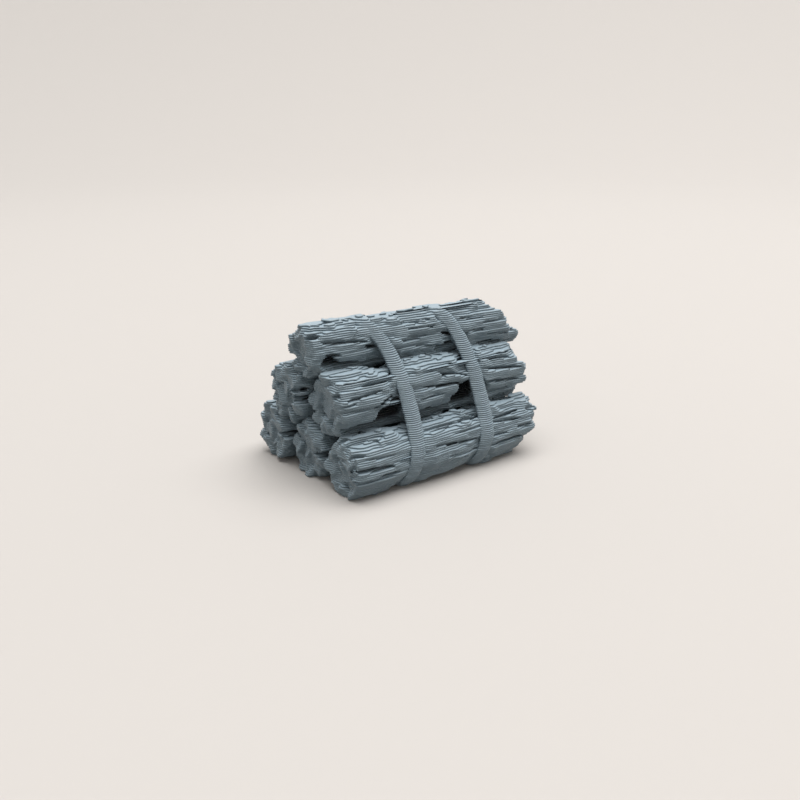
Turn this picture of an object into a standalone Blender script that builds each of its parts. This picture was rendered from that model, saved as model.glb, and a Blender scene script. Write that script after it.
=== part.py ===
"""Small stack of six thatch sheaves, three, two and one high, held by two straps.

Every sheaf is a round core with long flat locks of straw grown into it. The
sheaves lie along X, the front of the stack faces -Y, and the whole rests on
z = 0. Each sheaf and each strap is a solid of its own.
"""
import math
import random

import bmesh
import bpy
from mathutils import Matrix, Vector

MM = 0.001

# Stack
GAP = 0.3 * MM
WELD = 0.001 * MM
FLAT_ANGLE = math.radians(0.5)
STACK_TOP = 13.6 * MM

# Sheaf
CORE_SHARE = 0.79
CORE_SIDES = 12
CORE_SHORT = 0.7 * MM
LOCK_DEPTH = 1.25 * MM
LOCK_WIDTH = 1.2 * MM
LOCK_PITCH = 1.1 * MM
LOCK_SPREAD = 0.56
HEX_HALF_FLATS = 0.577
LOCK_TURN = 2.0
LOCK_RISE = 0.08 * MM
LOCK_STRETCH = (0.9, 1.1)
SEEDED_WIDTH = (1.1, 1.4)
SEEDED_PROUD = (-0.08, 0.1)
SEEDED_DRIFT = 5.0
RAGGED_ENDS = 0.9
SHORT_LOCK_START = (-9.5, 1.0)
SHORT_LOCK_LENGTH = (3.0, 7.0)
SHORT_LOCK_WIDTH = 0.9
SHORT_LOCK_PROUD = 0.22
SHORT_LOCK_DRIFT = 4.0
INNER_LOCKS = 5
INNER_WIDTH = 1.4 * MM
INNER_SHARE = 0.7
CORNER_SPREAD = (0.82, 1.18)
TAPER_LENGTH = 0.4 * MM
TAPER_SCALE = 0.7
RING_STEP = 8.5 * MM
WAIST_DEPTH = 0.25 * MM
WAIST_REACH = 1.8 * MM
INNER_ENDS = (0.1, 0.6)
INNER_DRIFT = 12.0
ROOM_LENGTH = 30.0 * MM
ROOM_MARGIN = 1.0
NEIGHBOUR_MARGIN = 0.6
SHEAF_TRIANGLES = 860

# Strap
STRAP_WIDTH = 1.65 * MM
STRAP_THICKNESS = 0.48 * MM
STRAP_PROUD = 0.14 * MM
STRAP_CHAMFER = 0.12 * MM
STRAP_SAG = 0.1 * MM
STRAP_BOW = 1.3 * MM
BOW_SKEW = 1.4
BOW_FLATNESS = 3.0
STRAP_LEFT_X = -5.0 * MM
STRAP_RIGHT_X = 2.8 * MM
STRAP_STEPS = 36
STRAP_SPAN = 1.1 * MM
ROOM_STEPS = 36
ROOM_BEYOND = 1.5 * MM
ROOM_BELOW = 1.0 * MM
ROOM_SPAN = 2.6 * MM

# Each sheaf in millimetres: radius, y of its axis at the left and right ends, z of
# its axis, the left end, the right end underneath, and how much shorter the right
# end is over the top. The bottom row is cut flat by the floor.
SHEAVES = {
    "sheaf_bottom_front": {
        "radius": 2.6, "y": (-5.8, -5.5), "z": 2.4, "left": -10.7, "right": 8.0, "slant": -2.0, "seed": 11},
    "sheaf_bottom_middle": {
        "radius": 2.6, "y": (-0.3, -0.3), "z": 2.4, "left": -10.8, "right": 10.3, "slant": 0.0, "seed": 12},
    "sheaf_bottom_back": {
        "radius": 2.7, "y": (5.3, 5.1), "z": 2.5, "left": -11.2, "right": 10.4, "slant": 0.0, "seed": 13},
    "sheaf_middle_front": {
        "radius": 2.7, "y": (-3.0, -3.1), "z": 7.1, "left": -10.4, "right": 10.2, "slant": 0.4, "seed": 14},
    "sheaf_middle_back": {
        "radius": 2.7, "y": (2.45, 2.3), "z": 7.1, "left": -11.2, "right": 10.4, "slant": 0.0, "seed": 15},
    "sheaf_top": {
        "radius": 2.3, "y": (0.1, -1.1), "z": 11.2, "left": -10.8, "right": 11.4, "slant": 2.9, "seed": 16},
}
AXIS_FROM = -10.5 * MM
AXIS_TO = 10.5 * MM

# Locks set by hand on the three sheaves that show from the front, in millimetres:
# angle at the left end, angle at the right end, left x, right x, width, how proud.
# Angles are in degrees about the sheaf's axis, from +Y up over the top.
FRONT_LOCKS = {
    "sheaf_top": [
        (97, 100, -10.6, 8.5, 1.3, 0.00),
        (117, 121, -10.8, 8.8, 1.1, -0.05),
        (137, 149, -9.7, 2.3, 1.2, 0.12),
        (145, 146, 4.5, 9.5, 1.2, 0.03),
        (159, 186, -10.0, 3.0, 1.2, 0.08),
        (166, 168, 4.8, 9.9, 1.1, 0.05),
        (188, 200, -8.2, 3.3, 1.1, 0.10),
        (187, 188, 4.9, 10.2, 1.1, 0.03),
        (208, 224, -7.6, 4.0, 1.2, 0.05),
        (205, 212, 5.1, 11.2, 1.2, 0.05),
        (226, 234, -10.0, 11.4, 1.2, 0.00),
        (142, 146, -0.7, 0.8, 0.7, 0.28),
        (143, 146, 1.0, 2.0, 0.6, 0.26),
        (150, 150, -10.9, -9.8, 1.4, -0.05),
        (174, 174, -10.9, -9.9, 1.5, 0.00),
        (200, 200, -10.8, -9.9, 1.4, -0.05),
    ],
    "sheaf_middle_front": [
        (104, 104, -9.9, 10.0, 1.3, 0.00),
        (123, 124, -10.2, 9.7, 1.2, 0.08),
        (146, 147, -9.9, 0.3, 1.3, 0.08),
        (152, 160, 0.5, 3.4, 1.1, 0.15),
        (142, 150, 4.9, 9.5, 1.2, 0.05),
        (165, 171, -10.4, -5.0, 1.3, 0.08),
        (172, 180, -4.2, 2.4, 1.2, 0.02),
        (167, 173, 4.9, 10.2, 1.3, 0.10),
        (186, 190, -10.2, -6.7, 1.3, 0.06),
        (193, 195, -3.2, 0.7, 1.1, 0.02),
        (190, 195, 5.0, 9.0, 1.3, 0.04),
        (205, 206, -10.1, -6.5, 1.3, 0.00),
        (211, 211, 5.0, 8.4, 1.3, 0.00),
        (222, 222, -10.0, 8.2, 1.3, -0.25),
    ],
    "sheaf_bottom_front": [
        (88, 92, -9.5, 10.0, 1.4, 0.00),
        (108, 108, -10.4, -7.3, 1.3, -0.15),
        (109, 110, -6.8, 9.9, 1.3, 0.10),
        (124, 122, -10.4, 9.8, 1.2, 0.04),
        (133, 135, 1.0, 3.8, 1.0, 0.25),
        (142, 143, -10.4, 9.6, 1.2, 0.05),
        (158, 156, -10.4, 7.6, 1.2, 0.06),
        (160, 162, 6.4, 9.2, 1.1, 0.02),
        (178, 181, -10.5, 0.5, 1.5, 0.10),
        (176, 174, 1.3, 9.3, 1.3, 0.02),
        (202, 198, -10.5, 8.2, 1.5, 0.00),
        (222, 216, -10.5, 6.7, 1.3, 0.00),
    ],
}

STRAW = ("thatch_straw", (0.16, 0.215, 0.25, 1.0), 0.5)
STRAP = ("tie_strap", (0.18, 0.235, 0.27, 1.0), 0.5)


def clear_scene():
    """Start from an empty scene."""
    for item in list(bpy.data.objects):
        bpy.data.objects.remove(item, do_unlink=True)


def new_collection(name):
    """A collection linked to the scene."""
    collection = bpy.data.collections.new(name)
    bpy.context.scene.collection.children.link(collection)
    return collection


def new_material(name, colour, roughness):
    """A Principled material with one colour and roughness."""
    material = bpy.data.materials.new(name)
    material.use_nodes = True
    shader = material.node_tree.nodes["Principled BSDF"]
    shader.inputs["Base Color"].default_value = colour
    shader.inputs["Roughness"].default_value = roughness
    shader.inputs["Metallic"].default_value = 0.0
    material.diffuse_color = colour
    return material


def add_object(name, bm, collection, material=None):
    """Turn a bmesh into an object with outward faces."""
    bmesh.ops.recalc_face_normals(bm, faces=bm.faces[:])
    mesh = bpy.data.meshes.new(name)
    bm.to_mesh(mesh)
    bm.free()
    if material:
        mesh.materials.append(material)
    item = bpy.data.objects.new(name, mesh)
    collection.objects.link(item)
    return item


def hide_cutter(item):
    """Show a cutter as wire, and leave it out of the render."""
    item.display_type = "WIRE"
    item.hide_render = True


def add_boolean(item, operation, cutter, own_overlaps=False):
    """An exact Boolean modifier."""
    modifier = item.modifiers.new(operation.title(), "BOOLEAN")
    modifier.operation = operation
    modifier.solver = "EXACT"
    modifier.object = cutter
    modifier.use_self = own_overlaps


def find_island(start):
    """All the faces joined to one face."""
    found = {start}
    waiting = [start]
    while waiting:
        face = waiting.pop()
        for edge in face.edges:
            for neighbour in edge.link_faces:
                if neighbour not in found:
                    found.add(neighbour)
                    waiting.append(neighbour)
    return found


def keep_outer_shell(item):
    """Apply the modifiers, and drop sealed pockets and loose chips."""
    bpy.context.view_layer.update()
    graph = bpy.context.evaluated_depsgraph_get()
    mesh = bpy.data.meshes.new_from_object(item.evaluated_get(graph))
    item.modifiers.clear()
    bm = bmesh.new()
    bm.from_mesh(mesh)
    bmesh.ops.remove_doubles(bm, verts=bm.verts[:], dist=WELD)
    left = set(bm.faces)
    islands = []
    while left:
        island = find_island(next(iter(left)))
        islands.append(island)
        left -= island
    islands.sort(key=lambda island: sum(face.calc_area() for face in island))
    for island in islands[:-1]:
        bmesh.ops.delete(bm, geom=list(island), context="FACES")
    bmesh.ops.dissolve_limit(bm, angle_limit=FLAT_ANGLE, verts=bm.verts[:], edges=bm.edges[:])
    bmesh.ops.triangulate(bm, faces=bm.faces[:])
    bm.to_mesh(mesh)
    bm.free()
    item.data = mesh


def strap_bow(z):
    """How far the straps lean towards +X at a height, most at two thirds of the way up."""
    share = min(max(z / STACK_TOP, 0.0), 1.0)
    return STRAP_BOW * (1.0 - abs(2.0 * share ** BOW_SKEW - 1.0) ** BOW_FLATNESS)


def axis_point(sheaf, x):
    """The point of a sheaf's axis at an x."""
    left, right = sheaf["y"]
    share = (x - AXIS_FROM) / (AXIS_TO - AXIS_FROM)
    return Vector((x, (left + (right - left) * share) * MM, sheaf["z"] * MM))


def right_end(sheaf, angle):
    """Where the right end of a sheaf lies at an angle round it."""
    return (sheaf["right"] - sheaf["slant"] * (1.0 + math.sin(angle)) / 2) * MM


def waist(x, z):
    """How far the straw is drawn in near the two straps."""
    pull = 0.0
    for strap_x in (STRAP_LEFT_X, STRAP_RIGHT_X):
        reach = (x - strap_x - strap_bow(z)) / WAIST_REACH
        pull += math.exp(-reach * reach)
    return WAIST_DEPTH * pull


def lay_on_x():
    """Turn a shape that stands on Z so that it lies along X."""
    return Matrix.Rotation(math.pi / 2, 4, "Y")


def add_lock(bm, sheaf, rng, angles, ends, width, radius):
    """Add one long flat lock: a six-sided bar that follows the sheaf's side."""
    lock = bmesh.new()
    bmesh.ops.create_cone(
        lock, cap_ends=True, cap_tris=False, segments=6,
        radius1=1.0, radius2=1.0, depth=1.0, matrix=lay_on_x())
    length = ends[1] - ends[0]
    taper = min(TAPER_LENGTH / length, 0.3)
    inner_rings = max(int(length / RING_STEP), 0)
    stations = [taper, 1.0 - taper]
    for ring in range(inner_rings):
        stations.append(taper + (1.0 - 2 * taper) * (ring + 1) / (inner_rings + 1))
    for station in stations:
        geometry = lock.verts[:] + lock.edges[:] + lock.faces[:]
        bmesh.ops.bisect_plane(lock, geom=geometry, plane_co=(station - 0.5, 0, 0), plane_no=(1, 0, 0))
    corners = {}
    for vert in lock.verts:
        corner = round(math.degrees(math.atan2(vert.co.z, vert.co.y)))
        if corner not in corners:
            corners[corner] = rng.uniform(*CORNER_SPREAD)
        vert.co.y *= corners[corner]
        vert.co.z *= corners[corner]
    wobble = {}
    lift = (rng.uniform(-0.5, 0.5), rng.uniform(-0.5, 0.5))
    for vert in lock.verts:
        share = vert.co.x + 0.5
        key = round(share, 3)
        if key not in wobble:
            wobble[key] = (
                rng.uniform(-LOCK_TURN, LOCK_TURN), rng.uniform(-LOCK_RISE, LOCK_RISE),
                rng.uniform(*LOCK_STRETCH))
        turn, rise, stretch = wobble[key]
        size = TAPER_SCALE if key in (0.0, 1.0) else 1.0
        x = ends[0] + length * share + TAPER_LENGTH * 0.5 * (lift[0] * vert.co.y + lift[1] * vert.co.z)
        angle = math.radians(angles[0] + (angles[1] - angles[0]) * share + turn)
        z_here = sheaf["z"] * MM + radius * math.sin(angle)
        middle = radius - LOCK_DEPTH / 2 + rise - waist(x, z_here)
        across = vert.co.y * width * LOCK_SPREAD * size * stretch
        outward = middle + vert.co.z * LOCK_DEPTH * HEX_HALF_FLATS * size
        radial = Vector((0.0, math.cos(angle), math.sin(angle)))
        side = Vector((0.0, -math.sin(angle), math.cos(angle)))
        vert.co = axis_point(sheaf, x) + radial * outward + side * across
    scratch = bpy.data.meshes.new("lock")
    lock.to_mesh(scratch)
    lock.free()
    bm.from_mesh(scratch)
    bpy.data.meshes.remove(scratch)


def round_locks(name, sheaf, rng):
    """The locks round a sheaf: those set by hand, then seeded ones where none are set."""
    locks = list(FRONT_LOCKS.get(name, []))
    taken = [(first + last) / 2 for first, last, *rest in locks]
    low, high = (min(taken) - 8, max(taken) + 8) if taken else (0, 0)
    step = math.degrees(LOCK_PITCH / (sheaf["radius"] * MM))
    start = high + step / 2 if taken else rng.uniform(0, step)
    count = int(round((360.0 - (high - low)) / step))
    for index in range(count):
        angle = start + step * (index + rng.uniform(-0.15, 0.15))
        drift = rng.uniform(-SEEDED_DRIFT, SEEDED_DRIFT)
        left = sheaf["left"] + rng.uniform(0.0, RAGGED_ENDS)
        right = right_end(sheaf, math.radians(angle)) / MM - rng.uniform(0.0, RAGGED_ENDS)
        width = rng.uniform(*SEEDED_WIDTH)
        locks.append((angle - drift, angle + drift, left, right, width, rng.uniform(*SEEDED_PROUD)))
    for index in range(count // 3):
        angle = start + step * (3 * index + 1.5)
        left = rng.uniform(*SHORT_LOCK_START)
        right = left + rng.uniform(*SHORT_LOCK_LENGTH)
        last = angle + rng.uniform(-SHORT_LOCK_DRIFT, SHORT_LOCK_DRIFT)
        locks.append((angle, last, left, right, SHORT_LOCK_WIDTH, SHORT_LOCK_PROUD))
    return locks


def make_locks(name, sheaf, collection):
    """All the locks of one sheaf, as overlapping bars in one object."""
    rng = random.Random(sheaf["seed"])
    radius = sheaf["radius"] * MM
    bm = bmesh.new()
    for first, last, left, right, width, proud in round_locks(name, sheaf, rng):
        add_lock(bm, sheaf, rng, (first, last), (left * MM, right * MM), width * MM, radius + proud * MM)
    for index in range(INNER_LOCKS):
        angle = 360.0 * (index + rng.uniform(-0.2, 0.2)) / INNER_LOCKS
        left = (sheaf["left"] + rng.uniform(*INNER_ENDS)) * MM
        right = right_end(sheaf, math.radians(angle)) - rng.uniform(*INNER_ENDS) * MM
        angles = (angle, angle + INNER_DRIFT)
        add_lock(bm, sheaf, rng, angles, (left, right), INNER_WIDTH, radius * INNER_SHARE)
    locks = add_object(name + "_locks", bm, collection)
    hide_cutter(locks)
    return locks


def dividing_plane(sheaf, other):
    """A point between two sheaves, and the way across from the first to the second."""
    points = []
    across = Vector((0.0, 0.0, 0.0))
    for x in (AXIS_FROM, AXIS_TO):
        here = axis_point(sheaf, x)
        there = axis_point(other, x)
        way = (there - here).normalized()
        reach = ((there - here).length + (sheaf["radius"] - other["radius"]) * MM) / 2
        points.append(here + way * reach)
        across += way
    along = (points[1] - points[0]).normalized()
    normal = (across - along * across.dot(along)).normalized()
    return (points[0] + points[1]) / 2, normal


def make_cell(name, sheaf, collection):
    """The room a sheaf has: its box, cut off between it and each neighbour and at the floor."""
    bm = bmesh.new()
    here = axis_point(sheaf, 0.0)
    reach = (sheaf["radius"] + ROOM_MARGIN) * MM
    low = max(here.z - reach, 0.0)
    high = here.z + reach
    centre = Vector((0.0, here.y, (low + high) / 2))
    size = Matrix.Diagonal((ROOM_LENGTH, 2 * reach, high - low, 1.0))
    bmesh.ops.create_cube(bm, size=1.0, matrix=Matrix.Translation(centre) @ size)
    for other in SHEAVES.values():
        there = axis_point(other, 0.0)
        touching = (sheaf["radius"] + other["radius"] + NEIGHBOUR_MARGIN) * MM
        if other is sheaf or (there - here).length > touching:
            continue
        point, normal = dividing_plane(sheaf, other)
        geometry = bm.verts[:] + bm.edges[:] + bm.faces[:]
        cut = bmesh.ops.bisect_plane(
            bm, geom=geometry, plane_co=point - normal * GAP / 2, plane_no=normal, clear_outer=True)
        edges = [piece for piece in cut["geom_cut"] if isinstance(piece, bmesh.types.BMEdge)]
        bmesh.ops.contextual_create(bm, geom=edges)
    cell = add_object(name + "_room", bm, collection)
    hide_cutter(cell)
    return cell


def span_points(start, end, step, floor):
    """Points between two crests, drawn in a little where nothing is behind them."""
    run = end - start
    count = max(int(round(run.length / step)), 1)
    inward = Vector((-run.y, run.x)).normalized()
    on_floor = start.y <= floor and end.y <= floor
    points = []
    for index in range(1, count):
        share = index / count
        sag = 0.0 if on_floor else STRAP_SAG * math.sin(math.pi * share)
        points.append(start + run * share + inward * sag)
    return points


def band_outline(strap_x, extra, floor, steps, step):
    """Closed outline in Y and Z drawn tight round all the sheaves, flat along the floor."""
    corners = []
    for index in range(steps):
        angle = 2 * math.pi * (index + 0.5) / steps
        way = Vector((math.cos(angle), math.sin(angle)))
        reaches = []
        for sheaf in SHEAVES.values():
            centre = axis_point(sheaf, strap_x).yz
            radius = sheaf["radius"] * MM + extra
            reaches.append((centre.dot(way) + radius, centre + way * radius))
        point = max(reaches, key=lambda reach: reach[0])[1]
        corners.append(Vector((point.x, max(point.y, floor))))
    points = []
    for index, start in enumerate(corners):
        end = corners[(index + 1) % steps]
        points.append(start)
        points += span_points(start, end, step, floor)
    return points


def make_band(name, strap_x, outer, inner, half_width, chamfer, detail):
    """A closed band: a ring outline with its width along X, then bowed towards +X.

    outer and inner are each a distance out from the sheaves and a floor height, and
    detail is the number of steps round the outline and the step along a straight run.
    """
    curve = bpy.data.curves.new(name, "CURVE")
    curve.dimensions = "2D"
    curve.fill_mode = "BOTH"
    curve.extrude = half_width - chamfer
    curve.bevel_depth = chamfer
    curve.bevel_resolution = 0
    curve.offset = -chamfer
    for extra, floor in (outer, inner):
        points = band_outline(strap_x, extra, floor, *detail)
        spline = curve.splines.new("POLY")
        spline.points.add(len(points) - 1)
        spline.use_cyclic_u = True
        for point, (y, z) in zip(spline.points, points):
            point.co = (y, z, 0.0, 1.0)
    guide = bpy.data.objects.new(name, curve)
    bpy.context.scene.collection.objects.link(guide)
    guide.matrix_world = Matrix(((0, 0, 1, strap_x), (1, 0, 0, 0), (0, 1, 0, 0), (0, 0, 0, 1)))
    bpy.context.view_layer.update()
    graph = bpy.context.evaluated_depsgraph_get()
    mesh = bpy.data.meshes.new_from_object(guide.evaluated_get(graph))
    mesh.transform(guide.matrix_world)
    bpy.data.objects.remove(guide, do_unlink=True)
    bm = bmesh.new()
    bm.from_mesh(mesh)
    bpy.data.meshes.remove(mesh)
    bmesh.ops.remove_doubles(bm, verts=bm.verts[:], dist=WELD)
    for vert in bm.verts:
        vert.co.x += strap_bow(vert.co.z)
    return bm


def make_strap(name, strap_x, collection, material):
    """One strap, with its underside on the floor."""
    outer = (STRAP_PROUD, 0.0)
    inner = (STRAP_PROUD - STRAP_THICKNESS, STRAP_THICKNESS)
    detail = (STRAP_STEPS, STRAP_SPAN)
    bm = make_band(name, strap_x, outer, inner, STRAP_WIDTH / 2, STRAP_CHAMFER, detail)
    return add_object(name, bm, collection, material)


def make_strap_room(name, strap_x, collection):
    """The room a strap needs in the straw: the strap with the gap all round, open outwards."""
    outer = (ROOM_BEYOND, -ROOM_BELOW)
    inner = (STRAP_PROUD - STRAP_THICKNESS - GAP, STRAP_THICKNESS + GAP)
    detail = (ROOM_STEPS, ROOM_SPAN)
    bm = make_band(name, strap_x, outer, inner, STRAP_WIDTH / 2 + GAP, 0.0, detail)
    room = add_object(name, bm, collection)
    hide_cutter(room)
    return room


def make_sheaf(name, sheaf, rooms, parts, cutters, material):
    """One sheaf: core and locks in one solid, cut to its room and for the straps."""
    bm = bmesh.new()
    radius = sheaf["radius"] * MM * CORE_SHARE
    start = axis_point(sheaf, sheaf["left"] * MM + CORE_SHORT)
    end = axis_point(sheaf, right_end(sheaf, 0.0) - CORE_SHORT)
    turn = (end - start).to_track_quat("Z", "Y").to_matrix().to_4x4()
    bmesh.ops.create_cone(
        bm, cap_ends=True, cap_tris=False, segments=CORE_SIDES, radius1=radius, radius2=radius,
        depth=(end - start).length, matrix=Matrix.Translation((start + end) / 2) @ turn)
    for vert in bm.verts:
        if vert.co.x > 0.0:
            vert.co.x -= sheaf["slant"] * MM / 2 * (vert.co.z - end.z) / radius
    item = add_object(name, bm, parts, material)
    add_boolean(item, "UNION", make_locks(name, sheaf, cutters), own_overlaps=True)
    keep_outer_shell(item)
    thin = item.modifiers.new("Thin", "DECIMATE")
    thin.ratio = min(1.0, SHEAF_TRIANGLES / len(item.data.polygons))
    add_boolean(item, "INTERSECT", make_cell(name, sheaf, cutters))
    for room in rooms:
        add_boolean(item, "DIFFERENCE", room)
    keep_outer_shell(item)
    return item


def centre_on_origin(items):
    """Move every mesh so that the stack's box is centred over the origin."""
    corners = [vert.co for item in items for vert in item.data.vertices]
    shift = Vector((0.0, 0.0, 0.0))
    for axis in (0, 1):
        values = [corner[axis] for corner in corners]
        shift[axis] = -(min(values) + max(values)) / 2
    for item in items:
        item.data.transform(Matrix.Translation(shift))


def main():
    """Build the stack."""
    clear_scene()
    parts = new_collection("thatch_bundle")
    cutters = new_collection("cutters")
    straw = new_material(*STRAW)
    tie = new_material(*STRAP)
    straps = {"strap_left": STRAP_LEFT_X, "strap_right": STRAP_RIGHT_X}
    rooms = []
    for name, strap_x in straps.items():
        make_strap(name, strap_x, parts, tie)
        rooms.append(make_strap_room(name + "_room", strap_x, cutters))
    for name, sheaf in SHEAVES.items():
        make_sheaf(name, sheaf, rooms, parts, cutters, straw)
    centre_on_origin(parts.objects)


main()
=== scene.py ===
import math
import random

import bpy
import numpy as np
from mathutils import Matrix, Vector, noise


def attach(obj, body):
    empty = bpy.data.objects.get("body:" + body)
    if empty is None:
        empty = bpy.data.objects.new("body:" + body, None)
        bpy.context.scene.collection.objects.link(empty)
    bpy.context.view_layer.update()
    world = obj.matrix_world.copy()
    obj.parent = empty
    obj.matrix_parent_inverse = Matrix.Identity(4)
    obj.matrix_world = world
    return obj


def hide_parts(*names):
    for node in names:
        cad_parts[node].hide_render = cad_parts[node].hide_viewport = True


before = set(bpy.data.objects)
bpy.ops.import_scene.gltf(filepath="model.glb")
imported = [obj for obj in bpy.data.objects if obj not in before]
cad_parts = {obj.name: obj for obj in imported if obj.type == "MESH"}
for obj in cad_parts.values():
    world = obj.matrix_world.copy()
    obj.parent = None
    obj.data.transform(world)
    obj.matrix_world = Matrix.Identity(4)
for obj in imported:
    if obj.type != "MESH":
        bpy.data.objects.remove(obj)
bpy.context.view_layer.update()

# Small printed stack of six thatch sheaves held by two straps.
# Pieces are modelled in millimetres and brought to metres when they are finished.

mm = 0.001
layer = 0.16                   # height of one printed layer
stackShift = (-0.145, 0.209)   # centres the stack over the origin, as the CAD model is


def nothingSelected():
    if bpy.context.mode != "OBJECT":
        bpy.ops.object.mode_set(mode="OBJECT")
    bpy.ops.object.select_all(action="DESELECT")


def pick(items):
    nothingSelected()
    for item in items:
        item.select_set(True)
    bpy.context.view_layer.objects.active = items[0]


def getPoints(item):
    points = np.empty(len(item.data.vertices) * 3)
    item.data.vertices.foreach_get("co", points)
    return points.reshape(-1, 3)


def setPoints(item, points):
    item.data.vertices.foreach_set("co", points.astype(np.float32).ravel())
    item.data.update()


def applyModifier(item, kind, **settings):
    modifier = item.modifiers.new(kind.title(), kind)
    for name, value in settings.items():
        setattr(modifier, name, value)
    pick([item])
    bpy.ops.object.modifier_apply(modifier=modifier.name)


# Camera, floor and light

view = {
    "place": (-47.03, -64.86, 32.43),   # mm, before the stack is centred
    "turn": (71.0, 0.0, -35.7),
    "lens": 40.5,
    "sensor": 36,
    "near": 1,
    "far": 2000,
    "skyHex": "f2f2f2",
    "skyStrength": 0.2,
    "exposure": 0.0,
}

softbox = {
    "place": (110, 10, 650),
    "target": (0, 0, 5),
    "size": (740, 740),
    "watts": 7.4,
    "hex": "fffbf7",
    "spread": 180,
}

board = {
    "hex": "c1bfbd",
    "roughness": 0.8,
    "sides": 96,
    "flat": 260,           # mm from the middle to where the board starts to curve up
    "curve": 420,
    "wall": 200,
    "steps": 24,
    "smoothAngle": 30,
}


def toLinear(hexColour):
    channels = [int(hexColour[start:start + 2], 16) / 255 for start in (0, 2, 4)]
    return tuple(c / 12.92 if c <= 0.04045 else ((c + 0.055) / 1.055) ** 2.4 for c in channels) + (1.0,)


def addNode(tree, kind, settings=None, inputs=None, links=None):
    node = tree.nodes.new(kind)
    for name, value in (settings or {}).items():
        setattr(node, name, value)
    for name, value in (inputs or {}).items():
        node.inputs[name].default_value = value
    for name, source in (links or {}).items():
        tree.links.new(source, node.inputs[name])
    return node


def newMaterial(name):
    material = bpy.data.materials.new(name)
    material.use_nodes = True
    tree = material.node_tree
    return material, tree, tree.nodes["Principled BSDF"]


def makeCamera():
    data = bpy.data.cameras.new("viewCamera")
    data.lens = view["lens"]
    data.sensor_width = view["sensor"]
    data.clip_start = view["near"] * mm
    data.clip_end = view["far"] * mm
    camera = bpy.data.objects.new("viewCamera", data)
    bpy.context.scene.collection.objects.link(camera)
    x, y, z = view["place"]
    camera.location = ((x + stackShift[0]) * mm, (y + stackShift[1]) * mm, z * mm)
    camera.rotation_euler = [math.radians(angle) for angle in view["turn"]]
    bpy.context.scene.camera = camera


def makeLights():
    data = bpy.data.lights.new("topSoftbox", "AREA")
    data.shape = "RECTANGLE"
    data.size = softbox["size"][0] * mm
    data.size_y = softbox["size"][1] * mm
    data.energy = softbox["watts"]
    data.color = toLinear(softbox["hex"])[:3]
    data.spread = math.radians(softbox["spread"])
    lamp = bpy.data.objects.new("topSoftbox", data)
    bpy.context.scene.collection.objects.link(lamp)
    place, target = Vector(softbox["place"]), Vector(softbox["target"])
    lamp.location = place * mm
    lamp.rotation_euler = (place - target).to_track_quat("Z", "Y").to_euler()
    world = bpy.data.worlds.new("paleRoom")
    world.use_nodes = True
    background = world.node_tree.nodes["Background"]
    background.inputs["Color"].default_value = toLinear(view["skyHex"])
    background.inputs["Strength"].default_value = view["skyStrength"]
    bpy.context.scene.world = world
    bpy.context.scene.view_settings.view_transform = "Standard"
    bpy.context.scene.view_settings.exposure = view["exposure"]


def paintedBoard():
    # Matt painted board: even, pale and slightly warm, with no gloss.
    material, tree, shader = newMaterial("mattPaintedBoard")
    shader.inputs["Base Color"].default_value = toLinear(board["hex"])
    shader.inputs["Roughness"].default_value = board["roughness"]
    return material


def makeFloor():
    # One seamless board: a flat round floor whose rim curves up into a wall.
    nothingSelected()
    bpy.ops.mesh.primitive_circle_add(vertices=board["sides"], radius=board["flat"] * mm, fill_type="NGON")
    floor = bpy.context.object
    floor.name = "paleFloor"
    bpy.ops.object.mode_set(mode="EDIT")
    bpy.ops.mesh.select_all(action="SELECT")
    bpy.ops.mesh.region_to_loop()
    reach = board["flat"]
    quarter = math.pi / 2
    for step in range(1, board["steps"] + 1):
        turn = quarter * step / board["steps"]
        wider = board["flat"] + board["curve"] * math.sin(turn)
        rise = board["curve"] * (math.cos(turn - quarter / board["steps"]) - math.cos(turn))
        bpy.ops.mesh.extrude_edges_move(TRANSFORM_OT_translate={"value": (0, 0, rise * mm)})
        bpy.ops.transform.resize(value=(wider / reach, wider / reach, 1), center_override=(0, 0, 0))
        reach = wider
    bpy.ops.mesh.extrude_edges_move(TRANSFORM_OT_translate={"value": (0, 0, board["wall"] * mm)})
    bpy.ops.mesh.select_all(action="SELECT")
    bpy.ops.mesh.normals_make_consistent(inside=True)
    bpy.ops.object.mode_set(mode="OBJECT")
    bpy.ops.object.shade_smooth_by_angle(angle=math.radians(board["smoothAngle"]))
    floor.data.materials.append(paintedBoard())


# Straw sheaves
# A lock is (angle at its left end, angle at its right end, left x, right x, width, how proud).
# Angles are in degrees about the sheaf's axis, from +Y up over the top.

sheaves = {
    "sheaf_bottom_front": {
        "radius": 2.6, "y": (-5.8, -5.5), "z": 2.4, "left": -10.7, "right": 8.0, "slant": -2.0, "seed": 11},
    "sheaf_bottom_middle": {
        "radius": 2.6, "y": (-0.3, -0.3), "z": 2.4, "left": -10.8, "right": 10.3, "slant": 0.0, "seed": 12},
    "sheaf_bottom_back": {
        "radius": 2.7, "y": (5.3, 5.1), "z": 2.5, "left": -11.2, "right": 10.4, "slant": 0.0, "seed": 13},
    "sheaf_middle_front": {
        "radius": 2.7, "y": (-3.0, -3.1), "z": 7.1, "left": -10.4, "right": 10.2, "slant": 0.4, "seed": 14},
    "sheaf_middle_back": {
        "radius": 2.7, "y": (2.45, 2.3), "z": 7.1, "left": -11.2, "right": 10.4, "slant": 0.0, "seed": 15},
    "sheaf_top": {
        "radius": 2.3, "y": (0.1, -1.1), "z": 11.2, "left": -10.8, "right": 11.4, "slant": 2.9, "seed": 16},
}

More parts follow.
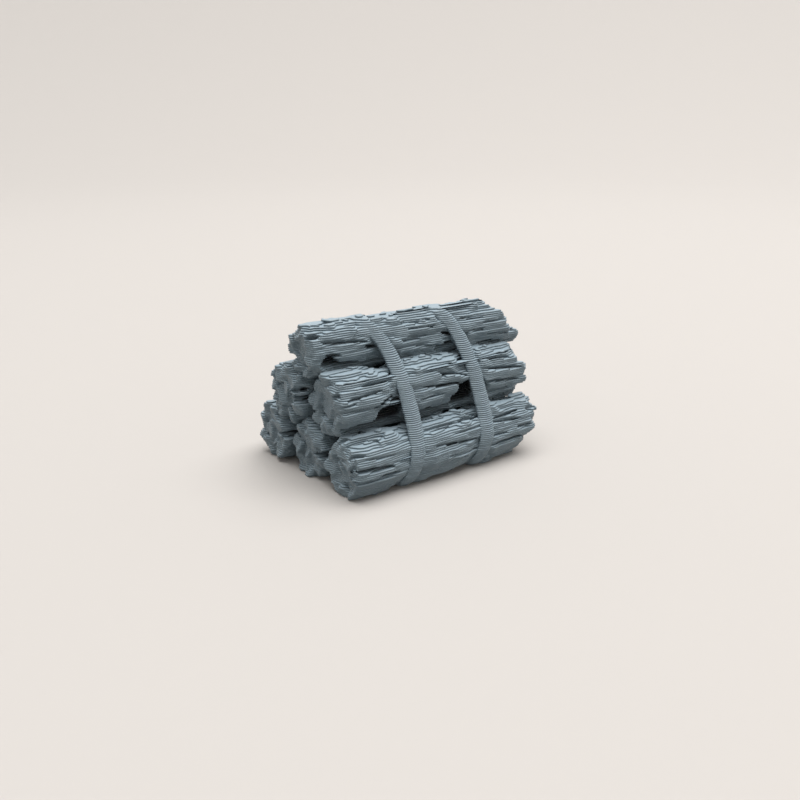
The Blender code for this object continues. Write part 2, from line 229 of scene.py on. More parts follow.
straw = {
    "axisFrom": -10.5,       # x of the two places where a sheaf's y is given
    "axisTo": 10.5,
    "coreShare": 0.80,       # radius of the closed middle of a sheaf
    "coreShort": 0.35,       # how far it stays back from the ends
    "coreCorner": 1.04,      # its corners stand out by this much
    "lockPitch": 0.85,
    "lockDepth": 1.2,
    "remesh": 0.07,
    "waistDepth": 0.22,
    "waistReach": 0.95,
    "valleyDepth": 0.30,     # the straw falls away on the left of each strap
    "valleyReach": 0.6,
    "valleyAside": 1.15,
    "swellHeight": 0.24,     # and comes up level with the strap on its right
    "swellReach": 0.75,
    "swellAside": 1.2,
    "fadeFrom": 11.8,        # near the crest the straps no longer draw it in
    "fadeOver": 1.0,
}

lockShape = {
    "sides": 8,
    "rings": 9,
    "tipAt": 0.44,           # share of the length, from the middle, where a lock's tip starts
    "tipSize": 0.75,
    "corner": (0.84, 1.14),  # how far each corner sits in or out
    "lean": 0.3,             # how much its ends lean
    "leanOver": 0.2,         # share of the length that leans with them
    "knot": 1.3,             # mm between the places where it may rise, swell or turn
    "rise": 0.09,
    "crestRise": 0.11,       # more of it on the upper side
    "swell": (0.86, 1.14),
    "swing": (-1.8, 1.8),    # degrees
}

seededLocks = {
    "clear": 8,              # degrees kept free beside the listed locks
    "jitter": (-0.2, 0.2),   # share of the step between two locks
    "drift": (-6, 6),        # degrees from one end to the other, halved
    "leftShort": (0.0, 0.4),
    "rightShort": (0.0, 0.9),
    "longest": 9.0,          # a longer run is made of two locks
    "run": (4.0, 11.0),
    "shortest": 0.8,
    "overlap": 0.1,
    "width": (1.0, 1.6),
    "proud": (-0.14, 0.10),
}

innerLocks = {
    # share of the radius, count, depth and width of each ring
    "rings": ((0.62, 5, 1.6, 2.3), (0.2, 3, 1.6, 1.9)),
    "jitter": (-0.3, 0.3),
    "turn": 10,              # degrees from one end to the other
    "leftShort": (0.0, 0.5),
    "rightShort": (0.05, 0.5),
    "spread": (0.85, 1.15),
}

chips = [
    # Short straws that lie on the locks all round, then shorter ones along the upper side.
    {"count": 50, "angle": (0, 360), "long": (0.9, 4.0), "width": (0.7, 1.2), "proud": (0.0, 0.14)},
    {"count": 46, "angle": (60, 140), "long": (0.5, 1.8), "width": (0.5, 0.9), "proud": (0.0, 0.24)},
]

chipShape = {
    "depth": 0.6,
    "tilt": (-0.25, 0.25),
    "turn": (-2, 2),         # degrees to a millimetre
    "leftShort": 0.2,
    "rightShort": 0.15,
    "room": 1.2,
}

cracks = {
    "count": 14,
    "seedStep": 50,
    "long": (1.0, 4.0),
    "turn": (-3, 3),         # degrees to a millimetre
    "width": (0.14, 0.20),
    "depth": (0.15, 0.4),
    "room": 2,
}

groove = {
    "narrowing": 0.5,        # how much narrower a groove gets towards its ends
    "wall": 1.5,             # steepness of its sides
    "keepShare": 0.35,       # share of the radius that no groove reaches
    "keepOver": 0.4,
}

fineStraw = {
    # frequency along the sheaf, frequency across it, height in mm
    "ridge": (0.22, 2.1, 0.05),
    "dent": (0.9, 1.6, 0.09),
    "ripple": (1.9, 3.0, 0.04),
}

straps = {
    "strap_left": {"x": -5.0, "seed": 31},
    "strap_right": {"x": 2.8, "seed": 32},
}

strap = {
    "bow": 1.3,
    "bowSkew": 1.4,
    "bowFlatness": 3.0,
    "stackTop": 13.6,
    "roughness": 0.45,
    "halfWidth": 0.83,
    "crown": 0.08,           # a strap is a low mound that sinks into the straw at its edges
    "edgeDrop": 0.30,
    "outward": 6,            # mm from the middle at which a face counts fully as outer or inner
    "crestFrom": 11.6,       # height from which the band reaches into the straw
    "crestOver": 1.0,
    "crestReach": 0.55,
    "lift": 0.02,            # keeps its flat tops clear of the straw's in the same layer
    "merge": 0.001,
    "remesh": 0.08,
}

frontLocks = {
    "sheaf_top": [
        (97, 100, -10.6, -2.4, 1.3, 0.00),
        (97, 100, -1.8, 8.5, 1.3, 0.14),
        (117, 121, -10.8, -3.0, 1.1, -0.05),
        (118, 121, -2.2, 8.8, 1.1, 0.05),
        (137, 149, -9.7, 2.3, 1.2, 0.12),
        (145, 146, 4.5, 9.5, 1.2, 0.03),
        (159, 186, -10.0, 3.0, 1.2, 0.08),
        (166, 168, 4.8, 9.9, 1.1, 0.05),
        (188, 200, -8.2, 3.3, 1.1, 0.10),
        (187, 188, 4.9, 10.2, 1.1, 0.03),
        (208, 224, -7.6, 4.0, 1.2, 0.05),
        (205, 212, 5.1, 11.2, 1.2, 0.05),
        (226, 234, -10.0, 11.4, 1.2, 0.00),
        (142, 146, -0.7, 0.8, 0.7, 0.28),
        (143, 146, 1.0, 2.0, 0.6, 0.26),
        (150, 150, -10.9, -9.8, 1.4, -0.05),
        (174, 174, -10.9, -9.9, 1.5, 0.00),
        (200, 200, -10.8, -9.9, 1.4, -0.05),
    ],
    "sheaf_middle_front": [
        (104, 104, -9.9, 10.0, 1.3, 0.00),
        (123, 124, -10.2, 9.7, 1.2, 0.08),
        (146, 147, -9.9, 0.3, 1.3, 0.08),
        (152, 160, 0.5, 3.4, 1.1, 0.15),
        (142, 150, 4.9, 9.5, 1.2, 0.05),
        (165, 171, -10.4, -5.0, 1.3, 0.08),
        (172, 180, -4.2, 2.4, 1.2, 0.02),
        (167, 173, 4.9, 10.2, 1.3, 0.10),
        (186, 190, -10.2, -6.7, 1.3, 0.06),
        (193, 195, -3.2, 0.7, 1.1, 0.02),
        (190, 195, 5.0, 9.0, 1.3, 0.04),
        (205, 206, -10.1, -6.5, 1.3, 0.00),
        (211, 211, 5.0, 8.4, 1.3, 0.00),
        (222, 222, -10.0, 9.3, 1.3, -0.12),
    ],
    "sheaf_bottom_front": [
        (88, 92, -9.5, 10.0, 1.4, 0.00),
        (108, 108, -10.4, -7.3, 1.3, -0.15),
        (109, 110, -6.8, 9.9, 1.3, 0.10),
        (124, 122, -10.4, 9.8, 1.2, 0.04),
        (133, 135, 1.0, 3.8, 1.0, 0.25),
        (142, 143, -10.4, 9.6, 1.2, 0.05),
        (158, 156, -10.4, 7.6, 1.2, 0.06),
        (160, 162, 6.4, 9.2, 1.1, 0.02),
        (178, 181, -10.5, 0.5, 1.5, 0.10),
        (176, 174, 1.3, 9.3, 1.3, 0.02),
        (202, 198, -10.5, 8.2, 1.5, 0.00),
        (222, 216, -10.5, 6.7, 1.3, 0.00),
    ],
}


# Grooves and hollows: x and angle where each starts and ends, width and depth.
frontGouges = {
    "sheaf_top": [
        (-10.8, 128, -9.9, 130, 0.40, 0.8),
        (-9.8, 148, -5.6, 160, 0.24, 0.5),
        (-9.4, 179, -8.4, 181, 0.28, 0.7),
        (-9.8, 200, -8.7, 195, 0.70, 1.5),
        (-8.9, 208, -6.6, 208, 0.42, 1.2),
        (-8.0, 207, -4.0, 214, 0.24, 0.5),
        (-5.6, 172, -4.6, 176, 0.30, 0.5),
        (-0.8, 132, 1.2, 134, 0.18, 0.25),
        (-1.5, 165, 1.9, 170, 0.15, 0.22),
        (-3.0, 186, 0.8, 188, 0.15, 0.18),
        (2.4, 168, 3.4, 175, 0.34, 0.6),
        (1.6, 206, 3.6, 200, 0.40, 0.7),
        (-1.1, 222, 1.0, 234, 0.25, 0.4),
        (4.7, 142, 5.8, 144, 0.18, 0.3),
        (5.1, 174, 7.0, 176, 0.18, 0.3),
        (6.4, 208, 11.5, 226, 0.30, 0.6),
        (7.0, 160, 9.6, 162, 0.17, 0.3),
        (7.4, 190, 10.8, 196, 0.17, 0.3),
    ],
    "sheaf_middle_front": [
        (-7.8, 136, -5.2, 133, 0.24, 0.5),
        (-9.6, 158, -6.2, 150, 0.20, 0.35),
        (-7.0, 180, -5.0, 165, 0.22, 0.6),
        (-9.6, 178, -7.4, 178, 0.15, 0.2),
        (-6.9, 207, -4.3, 209, 0.80, 2.5),
        (-6.2, 197, -4.3, 194, 0.65, 2.5),
        (-5.5, 185, -4.3, 179, 0.50, 2.0),
        (0.2, 140, 3.1, 156, 0.22, 0.5),
        (-1.8, 162, 2.3, 169, 0.22, 0.55),
        (-2.4, 184, 0.4, 182, 0.16, 0.25),
        (-2.6, 221, 1.2, 221, 0.50, 1.3),
        (1.6, 214, 3.6, 212, 0.75, 2.5),
        (1.7, 200, 3.6, 198, 0.75, 2.5),
        (2.2, 187, 3.6, 184, 0.60, 2.3),
        (2.9, 176, 3.6, 173, 0.45, 1.5),
        (-9.6, 224, -4.3, 217, 0.70, 1.4),
        (5.3, 132, 8.3, 139, 0.22, 0.5),
        (5.1, 152, 9.3, 163, 0.22, 0.5),
        (5.1, 177, 8.9, 186, 0.24, 0.5),
        (5.0, 203, 8.3, 204, 0.22, 0.4),
    ],
    "sheaf_bottom_front": [
        (-10.2, 102, -6.9, 104, 0.50, 0.6),
        (-10.9, 132, -9.6, 141, 0.24, 0.5),
        (-9.4, 150, -6.6, 153, 0.15, 0.2),
        (-10.6, 166, -7.0, 173, 0.28, 0.6),
        (-10.8, 192, -6.3, 188, 0.24, 0.5),
        (-2.4, 158, 2.5, 167, 0.18, 0.4),
        (-3.4, 124, 0.4, 121, 0.16, 0.25),
        (-1.0, 186, 2.8, 190, 0.16, 0.22),
        (1.0, 122, 3.4, 118, 0.30, 0.5),
        (4.8, 136, 7.8, 130, 0.22, 0.5),
        (4.5, 143, 7.6, 149, 0.22, 0.5),
        (7.3, 166, 8.9, 167, 0.24, 0.5),
        (4.2, 170, 5.8, 171, 0.22, 0.4),
        (3.7, 188, 7.8, 189, 0.24, 0.5),
        (8.8, 134, 9.8, 134, 0.30, 0.4),
    ],
    "sheaf_middle_back": [
        (-11.6, 182, -9.4, 182, 0.55, 1.5),
        (-11.6, 158, -10.2, 160, 0.35, 0.9),
        (-11.6, 232, -10.0, 232, 0.40, 1.0),
    ],
    "sheaf_bottom_middle": [
        (-11.2, 176, -9.4, 176, 0.50, 1.4),
        (-11.2, 30, -9.6, 30, 0.45, 1.2),
    ],
    "sheaf_bottom_back": [
        (-11.6, 170, -9.8, 170, 0.50, 1.3),
    ],
}


def strapBow(z):
    # How far a strap stands to the right of where it starts, at a height.
    share = np.clip(z / strap["stackTop"], 0.0, 1.0)
    fromMiddle = np.abs(2.0 * share ** strap["bowSkew"] - 1.0)
    return strap["bow"] * (1.0 - fromMiddle ** strap["bowFlatness"])


def hump(away, middle, reach):
    return np.exp(-((away - middle) / reach) ** 2)


def waistAt(x, z):
    # The straps draw the straw in, most on their left.
    pull = 0.0
    for item in straps.values():
        away = x - item["x"] - strapBow(z)
        pull = pull + straw["waistDepth"] * hump(away, 0.0, straw["waistReach"])
        pull = pull + straw["valleyDepth"] * hump(away, -straw["valleyAside"], straw["valleyReach"])
        pull = pull - straw["swellHeight"] * hump(away, straw["swellAside"], straw["swellReach"])
    return pull * (1 - np.clip((z - straw["fadeFrom"]) / straw["fadeOver"], 0, 1))


def axisY(sheaf, x):
    left, right = sheaf["y"]
    return left + (right - left) * (x - straw["axisFrom"]) / (straw["axisTo"] - straw["axisFrom"])


def rightEnd(sheaf, angle):
    return sheaf["right"] - sheaf["slant"] * (1.0 + math.sin(math.radians(angle))) / 2


def makeLockPattern():
    # One lock: an eight-sided bar along X, one unit long, with rings along it.
    nothingSelected()
    bpy.ops.mesh.primitive_cylinder_add(vertices=lockShape["sides"], radius=1, depth=1,
                                        rotation=(0, math.pi / 2, 0))
    lock = bpy.context.object
    lock.name = "lockPattern"
    bpy.ops.object.transform_apply(location=True, rotation=True, scale=True)
    bpy.ops.object.mode_set(mode="EDIT")
    cuts = [(ring + 1) / (lockShape["rings"] + 1) - 0.5 for ring in range(lockShape["rings"])]
    for cut in cuts + [-lockShape["tipAt"], lockShape["tipAt"]]:
        bpy.ops.mesh.select_all(action="SELECT")
        bpy.ops.mesh.bisect(plane_co=(cut, 0, 0), plane_no=(1, 0, 0))
    bpy.ops.object.mode_set(mode="OBJECT")
    # It is turned by half a side, so that a flat side faces outwards.
    points = getPoints(lock)
    turn = math.pi / lockShape["sides"]
    y, z = points[:, 1].copy(), points[:, 2].copy()
    points[:, 1] = (y * math.cos(turn) - z * math.sin(turn)) / math.cos(turn)
    points[:, 2] = (y * math.sin(turn) + z * math.cos(turn)) / math.cos(turn)
    setPoints(lock, points)
    return lock


def placeLock(pattern, sheaf, rng, row, depth, radius=None, tilt=0.0):
    # Bends one copy of the pattern along the sheaf's side.
    firstAngle, lastAngle, left, right, width, proud = row
    lock = pattern.copy()
    lock.data = pattern.data.copy()
    bpy.context.scene.collection.objects.link(lock)
    points = getPoints(lock)
    share = points[:, 0] + 0.5
    sides = lockShape["sides"]
    side = np.round(np.arctan2(points[:, 2], points[:, 1]) * (sides // 2) / math.pi).astype(int) % sides
    corner = np.array([rng.uniform(*lockShape["corner"]) for _ in range(sides)])[side]
    lean = [rng.uniform(-lockShape["lean"], lockShape["lean"]) for _ in range(4)]
    leftPart, rightPart = share < lockShape["leanOver"], share > 1 - lockShape["leanOver"]
    x = left + (right - left) * share
    x += np.where(leftPart, lean[0] * points[:, 1] + lean[1] * points[:, 2], 0.0)
    x += np.where(rightPart, lean[2] * points[:, 1] + lean[3] * points[:, 2], 0.0)
    knots = np.linspace(0, 1, max(int((right - left) / lockShape["knot"]), 3))
    up = max(math.sin(math.radians(firstAngle)), 0)
    most = lockShape["rise"] + lockShape["crestRise"] * up ** 4
    rise = np.interp(share, knots, [rng.uniform(-most, most) for _ in knots]) + tilt * (share - 0.5)
    swell = np.interp(share, knots, [rng.uniform(*lockShape["swell"]) for _ in knots])
    swing = np.interp(share, knots, [rng.uniform(*lockShape["swing"]) for _ in knots])
    tip = np.where((share < 0.001) | (share > 0.999), lockShape["tipSize"], 1.0)
    outer = sheaf["radius"] if radius is None else radius
    angle = np.radians(firstAngle + (lastAngle - firstAngle) * share + swing)
    z = sheaf["z"] + outer * np.sin(angle)
    middle = outer + proud - depth / 2 + rise - waistAt(x, z)
    across = points[:, 1] * width * 0.5 * swell * tip * corner
    outward = middle + points[:, 2] * depth / 2 * tip * corner
    placed = np.empty_like(points)
    placed[:, 0] = x
    placed[:, 1] = axisY(sheaf, x) + np.cos(angle) * outward - np.sin(angle) * across
    placed[:, 2] = sheaf["z"] + np.sin(angle) * outward + np.cos(angle) * across
    setPoints(lock, placed)
    return lock


def lockRows(name, sheaf, rng):
    # The listed locks, then seeded ones round the rest of the sheaf.
    seeded = seededLocks
    rows = list(frontLocks.get(name, []))
    taken = [(row[0] + row[1]) / 2 for row in rows]
    low, high = (min(taken) - seeded["clear"], max(taken) + seeded["clear"]) if taken else (0, 0)
    step = math.degrees(straw["lockPitch"] / sheaf["radius"])
    start = high + step / 2 if taken else rng.uniform(0, step)
    count = int(round((360.0 - (high - low)) / step))
    for index in range(count):
        angle = start + step * (index + rng.uniform(*seeded["jitter"]))
        drift = rng.uniform(*seeded["drift"])
        joints = [sheaf["left"] + rng.uniform(*seeded["leftShort"])]
        end = rightEnd(sheaf, angle) - rng.uniform(*seeded["rightShort"])
        while end - joints[-1] > seeded["longest"]:
            joints.append(joints[-1] + rng.uniform(*seeded["run"]))
        joints.append(end)
        for left, right in zip(joints, joints[1:]):
            if right - left > seeded["shortest"]:
                rows.append((angle - drift, angle + drift, left, right + seeded["overlap"],
                             rng.uniform(*seeded["width"]), rng.uniform(*seeded["proud"])))
    return rows


def makeSheafForm(name, sheaf, pattern):
    # The straw before it is printed: core, outer locks, and inner locks that show at the ends.
    rng = random.Random(sheaf["seed"])
    made = []
    core = sheaf["radius"] * straw["coreShare"]
    coreRow = (90, 90, sheaf["left"] + straw["coreShort"], rightEnd(sheaf, 0) - straw["coreShort"],
               2 * core / straw["coreCorner"], core)
    made.append(placeLock(pattern, dict(sheaf, radius=0.0), random.Random(1), coreRow, 2 * core))
    for row in lockRows(name, sheaf, rng):
        made.append(placeLock(pattern, sheaf, rng, row, straw["lockDepth"]))
    for radius, count, depth, width in innerLocks["rings"]:
        for index in range(count):
            angle = 360.0 * (index + rng.uniform(*innerLocks["jitter"])) / count
            left = sheaf["left"] + rng.uniform(*innerLocks["leftShort"])
            right = rightEnd(sheaf, angle) - rng.uniform(*innerLocks["rightShort"])
            row = (angle, angle + innerLocks["turn"], left, right,
                   width * rng.uniform(*innerLocks["spread"]), 0.0)
            made.append(placeLock(pattern, sheaf, rng, row, depth, sheaf["radius"] * radius + depth / 2))
    for kind in chips:
        for index in range(kind["count"]):
            angle, long = rng.uniform(*kind["angle"]), rng.uniform(*kind["long"])
            end = rightEnd(sheaf, angle)
            left = rng.uniform(sheaf["left"] + chipShape["leftShort"], end - chipShape["room"])
            right = min(left + long, end - chipShape["rightShort"])
            row = (angle, angle + rng.uniform(*chipShape["turn"]) * long, left, right,
                   rng.uniform(*kind["width"]), rng.uniform(*kind["proud"]))
            tilt = rng.uniform(*chipShape["tilt"])
            made.append(placeLock(pattern, sheaf, rng, row, chipShape["depth"], tilt=tilt))
    pick(made)
    bpy.ops.object.join()
    form = bpy.context.object
    form.name = name + "_form"
    applyModifier(form, "REMESH", mode="VOXEL", voxel_size=straw["remesh"])
    return form


def gouge(form, sheaf, strokes):
    # Cuts grooves and hollows into the straw, each along a line given in x and angle.
    rng = random.Random(sheaf["seed"] + cracks["seedStep"])
    strokes = list(strokes)
    for index in range(cracks["count"]):
        x = rng.uniform(sheaf["left"], sheaf["right"] - cracks["room"])
        angle, long = rng.uniform(0, 360), rng.uniform(*cracks["long"])
        strokes.append((x, angle, x + long, angle + rng.uniform(*cracks["turn"]) * long,
                        rng.uniform(*cracks["width"]), rng.uniform(*cracks["depth"])))
    points = getPoints(form)
    down = points[:, 2] - sheaf["z"]
    out = points[:, 1] - axisY(sheaf, points[:, 0])
    reach = np.hypot(out, down)
    angle = np.degrees(np.arctan2(down, out)) % 360
    push = np.zeros(len(points))
    for x1, angle1, x2, angle2, width, depth in strokes:
        along = np.array([x2 - x1, math.radians(angle2 - angle1) * sheaf["radius"]])
        turned = (angle - angle1 + 180) % 360 - 180
        away = np.stack([points[:, 0] - x1, np.radians(turned) * sheaf["radius"]], axis=1)
        share = np.clip(away @ along / max(along @ along, 1e-6), 0, 1)
        distance = np.linalg.norm(away - share[:, None] * along, axis=1)
        taper = 1 - groove["narrowing"] * (2 * share - 1) ** 4
        fall = np.clip(groove["wall"] * (1 - distance / (width * taper)), 0, 1)
        push = np.maximum(push, depth * fall * fall * (3 - 2 * fall))
    keep, over = groove["keepShare"] * sheaf["radius"], groove["keepOver"] * sheaf["radius"]
    push *= np.clip((reach - keep) / over, 0, 1)
    points[:, 1] -= push * out / reach
    points[:, 2] -= push * down / reach
    setPoints(form, points)


def getNormals(form):
    normals = np.empty(len(form.data.vertices) * 3)
    form.data.vertices.foreach_get("normal", normals)
    return normals.reshape(-1, 3)


def noiseAt(spot, kind, alongShift, acrossShift):
    along, across, height = fineStraw[kind]
    x, y, z = spot
    return height * noise.noise(Vector((x * along + alongShift, y * across + acrossShift, z * across)))


def roughen(form, amount, seed):
    # Fine straw: low ridges that run along the sheaf, and small dents.
    points = getPoints(form)
    push = np.empty(len(points))
    for index, spot in enumerate(points):
        push[index] = noiseAt(spot, "ridge", seed, 0) + noiseAt(spot, "dent", 0, seed) \
            + noiseAt(spot, "ripple", seed, 0)
    setPoints(form, points + getNormals(form) * push[:, None] * amount)


def crownStrap(form, item):
    points, normals = getPoints(form), getNormals(form)
    away = (points[:, 0] - item["x"] - strapBow(points[:, 2])) / strap["halfWidth"]
    push = strap["crown"] - strap["edgeDrop"] * away ** 2
    fromMiddle = normals[:, 1] * points[:, 1] + normals[:, 2] * (points[:, 2] - strap["stackTop"] / 2)
    outward = fromMiddle / strap["outward"]
    push *= np.clip(outward, 0, 1)
    # Over the crest the band reaches down into the straw, so that no gap opens under its top layers.
    crest = np.clip((points[:, 2] - strap["crestFrom"]) / strap["crestOver"], 0, 1)
    push += strap["crestReach"] * crest * np.clip(-outward, 0, 1)
    setPoints(form, points + normals * push[:, None])


# Printed layers

printing = {
    "halfHeight": 0.0825,    # a little over half a layer, so that the beads press into each other
    "bead": 0.078,           # rounding of a bead's edge
    "beadSteps": 1,
    "spacing": 0.13,         # distance between points along an outline
    "fewest": 8,
    "straightWithin": 0.006,
    "straightLength": 0.9,
    "shortest": 2.0,         # an outline shorter than this is a crumb and is left out
    "wander": 0.012,         # how far a layer's edge sits in or out of its neighbours'
    "merge": 0.0005,
    "smoothAngle": 50,
    "flat": 0.99,            # upright share of a normal above which a face is a flat layer top
}


def outlinesAt(points, edges, triEdges, height):
    # Closed outlines where a mesh meets a level plane.
    above = points[:, 2] > height
    crossing = above[edges[:, 0]] != above[edges[:, 1]]
    first, last = points[edges[crossing, 0]], points[edges[crossing, 1]]
    share = ((height - first[:, 2]) / (last[:, 2] - first[:, 2]))[:, None]
    spots = first[:, :2] + (last[:, :2] - first[:, :2]) * share
    number = np.full(len(edges), -1)
    number[crossing] = np.arange(len(spots))
    pairs = number[triEdges]
    pairs = pairs[(pairs >= 0).sum(axis=1) == 2]
    pairs = np.sort(pairs, axis=1)[:, 1:]
    neighbours = [[] for _ in range(len(spots))]
    for one, other in pairs.tolist():
        neighbours[one].append(other)
        neighbours[other].append(one)
    seen = [False] * len(spots)
    outlines = []
    for start in range(len(spots)):
        if seen[start] or len(neighbours[start]) != 2:
            continue
        loop = [start]
        seen[start] = True
        here = neighbours[start][0]
        while not seen[here]:
            seen[here] = True
            loop.append(here)
            ahead = [spot for spot in neighbours[here] if not seen[spot]]
            if not ahead:
                break
            here = ahead[0]
        outlines.append(spots[loop])
    return outlines


def smoothOutline(loop):
    # Even steps along the outline, corners eased as a round nozzle leaves them.
    closed = np.vstack([loop, loop[:1]])
    run = np.concatenate([[0], np.cumsum(np.linalg.norm(np.diff(closed, axis=0), axis=1))])
    if run[-1] < printing["shortest"]:
        return None
    count = max(int(run[-1] / printing["spacing"]), printing["fewest"])
    at = np.linspace(0, run[-1], count, endpoint=False)
    even = np.stack([np.interp(at, run, closed[:, axis]) for axis in (0, 1)], axis=1)
    eased = (np.roll(even, 1, axis=0) + 2 * even + np.roll(even, -1, axis=0)) / 4
    return thinOut(eased)


def thinOut(loop):
    # Drops points that lie on a straight run, at most every other one each time.
    keep = np.ones(len(loop), bool)
    for repeat in range(2):
        spots = np.flatnonzero(keep)
        middle = loop[spots]
        before, after = np.roll(middle, 1, axis=0), np.roll(middle, -1, axis=0)
        chord, part = after - before, middle - before
        length = np.linalg.norm(chord, axis=1) + 1e-9
        off = np.abs(chord[:, 0] * part[:, 1] - chord[:, 1] * part[:, 0]) / length
        drop = (off < printing["straightWithin"]) & (length < printing["straightLength"])
        drop[1::2] = False
        keep[spots[drop]] = False
    return loop[keep]


def printLayers(form, name, seed, lift=0.0):
    # Cuts a form into printed layers and rebuilds each as a flat bead-edged slab.
    rng = random.Random(seed)
    applyModifier(form, "TRIANGULATE")
    points = getPoints(form)
    edges = np.empty(len(form.data.edges) * 2, int)
    form.data.edges.foreach_get("vertices", edges)
    edges = edges.reshape(-1, 2)
    triEdges = np.empty(len(form.data.loops), int)
    form.data.loops.foreach_get("edge_index", triEdges)
    triEdges = triEdges.reshape(-1, 3)
    low, high = points[:, 2].min(), points[:, 2].max()
    slabs = []
    for level in range(max(int(low / layer), 0), int(high / layer) + 1):
        height = (level + 0.5) * layer
        outlines = [smoothOutline(loop) for loop in outlinesAt(points, edges, triEdges, height)]
        outlines = [loop for loop in outlines if loop is not None]
        if not outlines:
            continue
        curve = bpy.data.curves.new(name + "_layer", "CURVE")
        curve.dimensions = "2D"
        curve.fill_mode = "BOTH"
        curve.extrude = printing["halfHeight"] - printing["bead"]
        curve.bevel_depth = printing["bead"]
        curve.bevel_resolution = printing["beadSteps"]
        curve.offset = -printing["bead"] + rng.uniform(-1, 1) * printing["wander"]
        for loop in outlines:
            spline = curve.splines.new("POLY")
            spline.points.add(len(loop) - 1)
            spline.use_cyclic_u = True
            rows = np.column_stack([loop, np.zeros(len(loop)), np.ones(len(loop))])
            spline.points.foreach_set("co", rows.ravel())
        slab = bpy.data.objects.new(name + "_layer", curve)
        bpy.context.scene.collection.objects.link(slab)
        slab.location = (0, 0, height + lift)
        slabs.append(slab)
    bpy.data.objects.remove(form, do_unlink=True)
    pick(slabs)
    bpy.ops.object.convert(target="MESH")
    bpy.ops.object.join()
    piece = bpy.context.object
    bpy.ops.object.transform_apply(location=True, rotation=True, scale=True)
    bpy.ops.object.mode_set(mode="EDIT")
    bpy.ops.mesh.select_all(action="SELECT")
    bpy.ops.mesh.remove_doubles(threshold=printing["merge"])
    bpy.ops.mesh.normals_make_consistent(inside=False)
    bpy.ops.object.mode_set(mode="OBJECT")
    bpy.ops.object.shade_smooth_by_angle(angle=math.radians(printing["smoothAngle"]))
    for face in piece.data.polygons:
        if abs(face.normal.z) > printing["flat"]:
            face.use_smooth = False
    piece.name = name
    return piece


# Where the painted shade in the hollows sets in.
hollow = {
    "from": 0.30,            # mm below the sheaf's own round
    "over": 0.42,
    "endFree": 0.5,          # mm at the ends of a sheaf that stay unmarked
    "endOver": 0.5,
    "crestFree": 0.95,       # the crest stays unmarked too
    "crestOver": 0.2,
}


def markPaintedShade(piece, sheaf):
    # Marks the walls of deep hollows, where the material paints shade.
    points = getPoints(piece)
    out, up = points[:, 1] - axisY(sheaf, points[:, 0]), points[:, 2] - sheaf["z"]
    reach = np.hypot(out, up)
    inside = np.minimum(points[:, 0] - sheaf["left"], rightEnd(sheaf, 90) - points[:, 0])
    depth = np.clip((sheaf["radius"] - reach - hollow["from"]) / hollow["over"], 0, 1)
    depth *= np.clip((inside - hollow["endFree"]) / hollow["endOver"], 0, 1) \
        * np.clip((hollow["crestFree"] - up / reach) / hollow["crestOver"], 0, 1)
    mark = piece.data.attributes.new("hollow", "FLOAT", "POINT")
    mark.data.foreach_set("value", depth.astype(np.float32))


def finish(piece, material):
    # Nothing goes below the floor; then to metres, centred over the origin.
    points = getPoints(piece)
    points[:, 2] = np.maximum(points[:, 2], 0.0)
    points[:, 0] += stackShift[0]
    points[:, 1] += stackShift[1]
    setPoints(piece, points * mm)
    piece.data.materials.clear()
    piece.data.materials.append(material)


# Materials

filament = {
    "baseHex": "68777f",
    "darkHex": "5d6c75",
    "lightHex": "6c7b84",
    "paintedHighlightHex": "96aab7",      # painted aid: the lights alone leave the layer tops darker than in the photo
    "paintedHighlightFrom": 0.42,         # upright share of a normal from which this tone sets in
    "hollowHex": "14191d",   # painted aid: the lights alone leave the hollows lighter than in the photo
    "roughness": 0.45,
    "ior": 1.46,
    "sheen": 0.35,
    "sheenRoughness": 0.35,
    "sheenHex": "dfeaf2",
    "toneSize": 2.5,         # mm between lighter and darker areas
    "toneDetail": 3.0,
    "toneFrom": 0.3,
    "toneTo": 0.7,
    "grainSize": 0.06,       # mm, the fine roughness along a bead
    "grainDetail": 2.0,
    "grainHeight": 0.01,     # mm
    "grainStrength": 0.15,
}


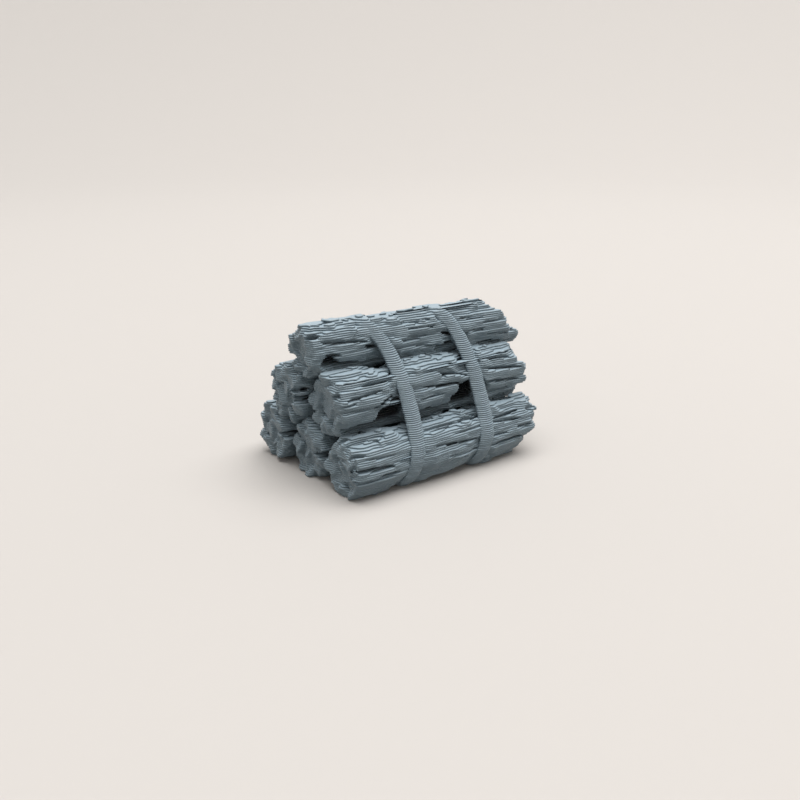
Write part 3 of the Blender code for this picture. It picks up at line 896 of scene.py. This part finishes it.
def printedFilament(name, base):
    # Matt PLA filament, melted and laid in 0.16 mm layers: grey-blue with a soft satin sheen, a little
    # uneven in tone, with a fine grain along each bead. Upward faces get a painted highlight and the walls
    # of deep hollows a painted shade.
    material, tree, shader = newMaterial(name)
    place = addNode(tree, "ShaderNodeTexCoord").outputs["Object"]
    perMetre = 1 / mm
    tone = addNode(tree, "ShaderNodeTexNoise", {},
                   {"Scale": perMetre / filament["toneSize"], "Detail": filament["toneDetail"]},
                   {"Vector": place})
    ramp = addNode(tree, "ShaderNodeValToRGB", {}, {}, {"Fac": tone.outputs["Fac"]})
    dark, light = ramp.color_ramp.elements
    dark.position, dark.color = filament["toneFrom"], toLinear(filament["darkHex"])
    light.position, light.color = filament["toneTo"], toLinear(base)
    # Painted highlight: faces that turn upwards are mixed towards a lighter tone.
    normal = addNode(tree, "ShaderNodeNewGeometry").outputs["Normal"]
    facing = addNode(tree, "ShaderNodeSeparateXYZ", {}, {}, {"Vector": normal})
    highlightMask = addNode(tree, "ShaderNodeMapRange", {}, {"From Min": filament["paintedHighlightFrom"], "From Max": 1.0},
                     {"Value": facing.outputs["Z"]})
    withPaintedHighlight = addNode(tree, "ShaderNodeMixRGB", {}, {"Color2": toLinear(filament["paintedHighlightHex"])},
                     {"Fac": highlightMask.outputs["Result"], "Color1": ramp.outputs["Color"]})
    # Painted shade: the marked walls of deep hollows are mixed towards near black.
    shadeMask = addNode(tree, "ShaderNodeAttribute", {"attribute_name": "hollow"})
    withPaintedShade = addNode(tree, "ShaderNodeMixRGB", {}, {"Color2": toLinear(filament["hollowHex"])},
                     {"Fac": shadeMask.outputs["Fac"], "Color1": withPaintedHighlight.outputs["Color"]})
    tree.links.new(withPaintedShade.outputs["Color"], shader.inputs["Base Color"])
    grain = addNode(tree, "ShaderNodeTexNoise", {},
                    {"Scale": perMetre / filament["grainSize"], "Detail": filament["grainDetail"]},
                    {"Vector": place})
    bump = addNode(tree, "ShaderNodeBump", {},
                   {"Strength": filament["grainStrength"], "Distance": filament["grainHeight"] * mm},
                   {"Height": grain.outputs["Fac"]})
    tree.links.new(bump.outputs["Normal"], shader.inputs["Normal"])
    shader.inputs["Roughness"].default_value = filament["roughness"]
    shader.inputs["IOR"].default_value = filament["ior"]
    shader.inputs["Sheen Weight"].default_value = filament["sheen"]
    shader.inputs["Sheen Roughness"].default_value = filament["sheenRoughness"]
    shader.inputs["Sheen Tint"].default_value = toLinear(filament["sheenHex"])
    return material


def countTriangles(piece):
    return sum(len(face.vertices) - 2 for face in piece.data.polygons)


makeCamera()
makeLights()
makeFloor()
print("stage ready")

strawMaterial = printedFilament("printedStrawPLA", filament["baseHex"])
strapMaterial = printedFilament("printedStrapPLA", filament["lightHex"])

pattern = makeLockPattern()
for name, sheaf in sheaves.items():
    form = makeSheafForm(name, sheaf, pattern)
    gouge(form, sheaf, frontGouges.get(name, []))
    roughen(form, 1.0, sheaf["seed"])
    piece = printLayers(form, name + "_straw", sheaf["seed"])
    markPaintedShade(piece, sheaf)
    finish(piece, strawMaterial)
    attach(piece, "root")
    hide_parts(name)
    print(name, "printed with", countTriangles(piece), "triangles")
bpy.data.objects.remove(pattern, do_unlink=True)

for name, item in straps.items():
    # The strap's own solid, merged and printed in the same layers.
    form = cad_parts[name].copy()
    form.data = form.data.copy()
    form.parent = None
    for key in list(form.keys()):
        del form[key]
    bpy.context.scene.collection.objects.link(form)
    points = getPoints(form) / mm
    points[:, 0] -= stackShift[0]
    points[:, 1] -= stackShift[1]
    setPoints(form, points)
    pick([form])
    bpy.ops.object.mode_set(mode="EDIT")
    bpy.ops.mesh.select_all(action="SELECT")
    bpy.ops.mesh.remove_doubles(threshold=strap["merge"])
    bpy.ops.object.mode_set(mode="OBJECT")
    applyModifier(form, "REMESH", mode="VOXEL", voxel_size=strap["remesh"])
    crownStrap(form, item)
    roughen(form, strap["roughness"], item["seed"])
    piece = printLayers(form, name + "_band", item["seed"], strap["lift"])
    finish(piece, strapMaterial)
    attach(piece, "root")
    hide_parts(name)
    print(name, "printed with", countTriangles(piece), "triangles")

print("all pieces in place")
